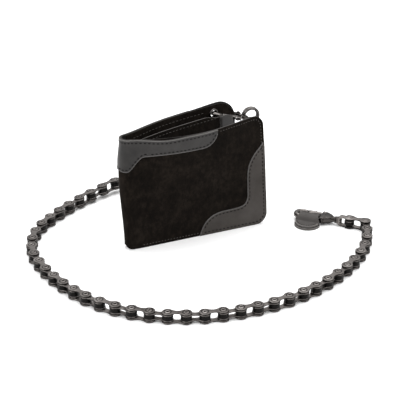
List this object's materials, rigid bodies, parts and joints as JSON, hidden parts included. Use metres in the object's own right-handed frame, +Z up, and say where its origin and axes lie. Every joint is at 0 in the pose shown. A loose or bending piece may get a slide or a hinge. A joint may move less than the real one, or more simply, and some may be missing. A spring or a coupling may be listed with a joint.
{
  "type": "chain wallet",
  "caption": "Bifold suede and smooth leather wallet standing slightly open, with a black roller chain clipped to an eyelet and ending in a swivel clasp with a round leather fob.",
  "frame": {"origin": "middle of the front leaf's lower edge, where the wallet stands on a surface", "axes": "+X along the front leaf away from the fold, +Y towards the back leaf, +Z up"},
  "size_m": [0.2563, 0.2383, 0.089],
  "materials": {
    "suede": "napped",
    "smooth_leather": "satin",
    "inner_leather": "matte",
    "lining_cloth": "matte",
    "fob_leather": "satin",
    "chain_metal": "black oxide, semi-gloss",
    "fitting_metal": "dark nickel, polished"
  },
  "bodies": {
    "back_leaf": {"suede_back": "suede", "top_band_back": "smooth_leather", "corner_patch_back": "smooth_leather", "lining_back": "lining_cloth", "inner_panel_back": "inner_leather", "card_pocket_back_1": "inner_leather", "card_pocket_back_2": "inner_leather", "edge_strip_back": "smooth_leather", "eyelet": "fitting_metal", "eyelet_washer": "fitting_metal"},
    "front_leaf": {"suede_front": "suede", "top_band_front": "smooth_leather", "corner_patch_front": "smooth_leather", "lining_front": "lining_cloth", "inner_panel_front": "inner_leather", "card_pocket_front_1": "inner_leather", "card_pocket_front_2": "inner_leather", "edge_strip_front": "smooth_leather"},
    "wallet_clasp": {"wallet_clasp_hook": "fitting_metal", "wallet_clasp_rivet": "chain_metal", "wallet_clasp_spring": "chain_metal"},
    "wallet_gate": {"wallet_clasp_gate": "fitting_metal"},
    "wallet_swivel": {"wallet_clasp_swivel": "fitting_metal"},
    "ring": {"split_ring": "chain_metal"},
    "wallet_end": {"wallet_shackle": "chain_metal"},
    "link_01": {"chain_link_01": "chain_metal"},
    "link_02": {"chain_link_02": "chain_metal"},
    "link_03": {"chain_link_03": "chain_metal"},
    "link_04": {"chain_link_04": "chain_metal"},
    "link_05": {"chain_link_05": "chain_metal"},
    "link_06": {"chain_link_06": "chain_metal"},
    "link_07": {"chain_link_07": "chain_metal"},
    "link_08": {"chain_link_08": "chain_metal"},
    "link_09": {"chain_link_09": "chain_metal"},
    "link_10": {"chain_link_10": "chain_metal"},
    "link_11": {"chain_link_11": "chain_metal"},
    "link_12": {"chain_link_12": "chain_metal"},
    "link_13": {"chain_link_13": "chain_metal"},
    "link_14": {"chain_link_14": "chain_metal"},
    "link_15": {"chain_link_15": "chain_metal"},
    "link_16": {"chain_link_16": "chain_metal"},
    "link_17": {"chain_link_17": "chain_metal"},
    "link_18": {"chain_link_18": "chain_metal"},
    "link_19": {"chain_link_19": "chain_metal"},
    "link_20": {"chain_link_20": "chain_metal"},
    "link_21": {"chain_link_21": "chain_metal"},
    "link_22": {"chain_link_22": "chain_metal"},
    "link_23": {"chain_link_23": "chain_metal"},
    "link_24": {"chain_link_24": "chain_metal"},
    "link_25": {"chain_link_25": "chain_metal"},
    "link_26": {"chain_link_26": "chain_metal"},
    "link_27": {"chain_link_27": "chain_metal"},
    "belt_end": {"belt_shackle": "chain_metal"},
    "belt_clasp": {"belt_clasp_hook": "fitting_metal", "belt_clasp_swivel": "fitting_metal", "belt_clasp_rivet": "chain_metal", "belt_clasp_spring": "chain_metal"},
    "belt_gate": {"belt_clasp_gate": "fitting_metal"},
    "fob": {"leather_fob": "fob_leather"}
  },
  "joints": [
    {"name": "fold", "type": "hinge", "parent": "back_leaf", "child": "front_leaf", "pos_m": [-0.0555, 0.0076, 0], "axis": [0, 0, 1], "range_deg": [-60, 12]},
    {"name": "eyelet_swing", "type": "hinge", "parent": "back_leaf", "child": "wallet_clasp", "pos_m": [0.02855, 0.03778, 0.0813], "axis": [-0.2588, 0.9659, 0], "range_deg": [-2.5, 2.5]},
    {"name": "wallet_gate_swing", "type": "hinge", "parent": "wallet_clasp", "child": "wallet_gate", "pos_m": [0.05347, 0.04156, 0.07265], "axis": [-0.3137, -0.095, -0.9448], "range_deg": [0, 2], "stiffness_Nm_per_rad": 0.02, "springref_deg": -11.46},
    {"name": "wallet_swivel_turn", "type": "hinge", "parent": "wallet_clasp", "child": "wallet_swivel", "pos_m": [0.0536, 0.04537, 0.07222], "axis": [0.9042, 0.2737, -0.3278], "range_deg": [-4, 4]},
    {"name": "ring_swing", "type": "hinge", "parent": "wallet_swivel", "child": "ring", "pos_m": [0.05914, 0.04704, 0.07021], "axis": [0, 0, 1], "range_deg": [-4, 4]},
    {"name": "wallet_end_swing", "type": "hinge", "parent": "ring", "child": "wallet_end", "pos_m": [0.06502, 0.04663, 0.06411], "axis": [-0.997, 0.0697, 0.0347], "range_deg": [-4, 4]},
    {"name": "link_01_bend", "type": "hinge", "parent": "wallet_end", "child": "link_01", "pos_m": [0.06517, 0.05603, 0.04953], "axis": [0.149, 0.8305, 0.5367], "range_deg": [-3, 3]},
    {"name": "link_02_bend", "type": "hinge", "parent": "link_01", "child": "link_02", "pos_m": [0.07948, 0.06574, 0.03156], "axis": [-0.2089, -0.7778, -0.5928], "range_deg": [-3, 3]},
    {"name": "link_03_bend", "type": "hinge", "parent": "link_02", "child": "link_03", "pos_m": [0.07697, 0.08278, 0.01351], "axis": [0.3808, 0.6955, 0.6093], "range_deg": [-3, 3]},
    {"name": "link_04_bend", "type": "hinge", "parent": "link_03", "child": "link_04", "pos_m": [0.05821, 0.09722, 0.0059], "axis": [-0.2287, -0.6676, -0.7085], "range_deg": [-3, 3]},
    {"name": "link_05_bend", "type": "hinge", "parent": "link_04", "child": "link_05", "pos_m": [0.03324, 0.10136, 0.00801], "axis": [0.1389, 0.5464, 0.8259], "range_deg": [-3, 3]},
    {"name": "link_06_bend", "type": "hinge", "parent": "link_05", "child": "link_06", "pos_m": [0.00796, 0.10355, 0.00878], "axis": [-0.0417, -0.4027, -0.9144], "range_deg": [-3, 3]},
    {"name": "link_07_bend", "type": "hinge", "parent": "link_06", "child": "link_07", "pos_m": [-0.01735, 0.10176, 0.00847], "axis": [-0.0539, 0.2654, 0.9626], "range_deg": [-3, 3]},
    {"name": "link_08_bend", "type": "hinge", "parent": "link_07", "child": "link_08", "pos_m": [-0.04187, 0.09551, 0.00668], "axis": [0.1234, -0.1075, -0.9865], "range_deg": [-3, 3]},
    {"name": "link_09_bend", "type": "hinge", "parent": "link_08", "child": "link_09", "pos_m": [-0.06525, 0.08573, 0.00514], "axis": [-0.0876, 0.0662, 0.994], "range_deg": [-3, 3]},
    {"name": "link_10_bend", "type": "hinge", "parent": "link_09", "child": "link_10", "pos_m": [-0.08709, 0.07282, 0.00438], "axis": [0.0462, -0.0301, -0.9985], "range_deg": [-3, 3]},
    {"name": "link_11_bend", "type": "hinge", "parent": "link_10", "child": "link_11", "pos_m": [-0.10696, 0.05702, 0.00425], "axis": [0, 0, 1], "range_deg": [-15, 15]},
    {"name": "link_12_bend", "type": "hinge", "parent": "link_11", "child": "link_12", "pos_m": [-0.12157, 0.03635, 0.00425], "axis": [0, 0, -1], "range_deg": [-15, 15]},
    {"name": "link_13_bend", "type": "hinge", "parent": "link_12", "child": "link_13", "pos_m": [-0.12865, 0.01205, 0.00425], "axis": [0, 0, 1], "range_deg": [-15, 15]},
    {"name": "link_14_bend", "type": "hinge", "parent": "link_13", "child": "link_14", "pos_m": [-0.12854, -0.01333, 0.00425], "axis": [0, 0, -1], "range_deg": [-15, 15]},
    {"name": "link_15_bend", "type": "hinge", "parent": "link_14", "child": "link_15", "pos_m": [-0.12446, -0.03838, 0.00425], "axis": [0, 0, 1], "range_deg": [-14, 14]},
    {"name": "link_16_bend", "type": "hinge", "parent": "link_15", "child": "link_16", "pos_m": [-0.11651, -0.06249, 0.00425], "axis": [0, 0, -1], "range_deg": [-13, 13]},
    {"name": "link_17_bend", "type": "hinge", "parent": "link_16", "child": "link_17", "pos_m": [-0.10345, -0.08422, 0.00425], "axis": [0, 0, 1], "range_deg": [-5, 5]},
    {"name": "link_18_bend", "type": "hinge", "parent": "link_17", "child": "link_18", "pos_m": [-0.08553, -0.10215, 0.00425], "axis": [0, 0, -1], "range_deg": [-4, 4]},
    {"name": "link_19_bend", "type": "hinge", "parent": "link_18", "child": "link_19", "pos_m": [-0.0638, -0.1152, 0.00425], "axis": [0, 0, 1], "range_deg": [-5, 5]},
    {"name": "link_20_bend", "type": "hinge", "parent": "link_19", "child": "link_20", "pos_m": [-0.03955, -0.12262, 0.00425], "axis": [0, 0, -1], "range_deg": [-5, 5]},
    {"name": "link_21_bend", "type": "hinge", "parent": "link_20", "child": "link_21", "pos_m": [-0.01431, -0.12527, 0.00425], "axis": [0, 0, 1], "range_deg": [-6, 6]},
    {"name": "link_22_bend", "type": "hinge", "parent": "link_21", "child": "link_22", "pos_m": [0.011, -0.1235, 0.00425], "axis": [0, 0, -1], "range_deg": [-6, 6]},
    {"name": "link_23_bend", "type": "hinge", "parent": "link_22", "child": "link_23", "pos_m": [0.03562, -0.11736, 0.00425], "axis": [0, 0, 1], "range_deg": [-7, 7]},
    {"name": "link_24_bend", "type": "hinge", "parent": "link_23", "child": "link_24", "pos_m": [0.05894, -0.10734, 0.00425], "axis": [0, 0, -1], "range_deg": [-10, 10]},
    {"name": "link_25_bend", "type": "hinge", "parent": "link_24", "child": "link_25", "pos_m": [0.08041, -0.0938, 0.00425], "axis": [0, 0, 1], "range_deg": [-14, 14]},
    {"name": "link_26_bend", "type": "hinge", "parent": "link_25", "child": "link_26", "pos_m": [0.09918, -0.07675, 0.00425], "axis": [0, 0, -1], "range_deg": [-15, 15]},
    {"name": "link_27_bend", "type": "hinge", "parent": "link_26", "child": "link_27", "pos_m": [0.11363, -0.05591, 0.00425], "axis": [0, 0, 1], "range_deg": [-15, 15]},
    {"name": "belt_end_bend", "type": "hinge", "parent": "link_27", "child": "belt_end", "pos_m": [0.119, -0.0444, 0.00425], "axis": [0, 0, 1], "range_deg": [-40, 40]},
    {"name": "belt_swivel_turn", "type": "hinge", "parent": "belt_end", "child": "belt_clasp", "pos_m": [0.10365, -0.02795, 0.00425], "axis": [-0.682, 0.7314, 0], "continuous": true},
    {"name": "belt_gate_swing", "type": "hinge", "parent": "belt_clasp", "child": "belt_gate", "pos_m": [0.09931, -0.01668, 0.00425], "axis": [0, 0, 1], "range_deg": [0, 13], "stiffness_Nm_per_rad": 0.03, "springref_deg": -11.46},
    {"name": "fob_swing", "type": "hinge", "parent": "belt_clasp", "child": "fob", "pos_m": [0.08468, -0.01419, 0.00425], "axis": [-0.682, 0.7314, 0], "range_deg": [0, 95]}
  ]
}
